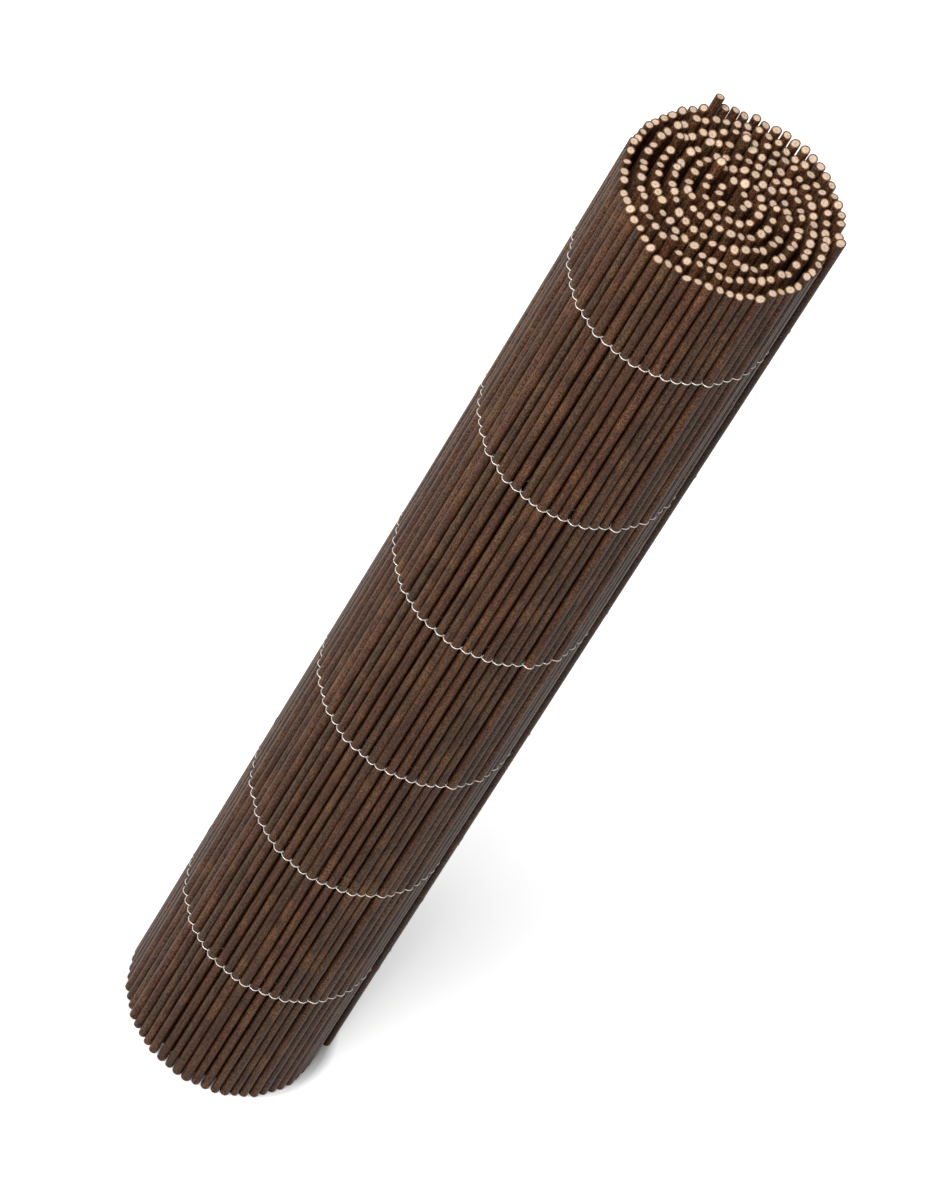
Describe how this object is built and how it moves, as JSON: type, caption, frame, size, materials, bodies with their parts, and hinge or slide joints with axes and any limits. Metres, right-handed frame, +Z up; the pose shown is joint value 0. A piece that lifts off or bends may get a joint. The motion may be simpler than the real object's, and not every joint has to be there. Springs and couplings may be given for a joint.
{
  "type": "rolled willow screen",
  "caption": "Privacy screen of bark-covered willow rods tied side by side with rows of twisted galvanised wire, rolled up loosely and standing on end.",
  "frame": {"origin": "on the ground, under the middle of the roll's outline", "axes": "+Z up along the rods; the mat's outer edge lies towards +X and a little towards +Y, the side that the picture looks from is -Y"},
  "size_m": [0.225, 0.2222, 1.519],
  "materials": {
    "willow_bark": "natural bark, matte",
    "galvanised_wire": "galvanised, dull"
  },
  "bodies": {
    "root": {"willow_rods_turn_1": "willow_bark", "willow_rods_turn_2": "willow_bark", "willow_rods_turn_3": "willow_bark", "willow_rods_turn_4": "willow_bark", "willow_rods_turn_5": "willow_bark", "willow_rods_turn_6": "willow_bark", "willow_rods_turn_7": "willow_bark", "willow_rods_turn_8": "willow_bark", "wire_row_1": "galvanised_wire", "wire_row_2": "galvanised_wire", "wire_row_3": "galvanised_wire", "wire_row_4": "galvanised_wire", "wire_row_5": "galvanised_wire", "wire_row_6": "galvanised_wire"}
  },
  "joints": []
}
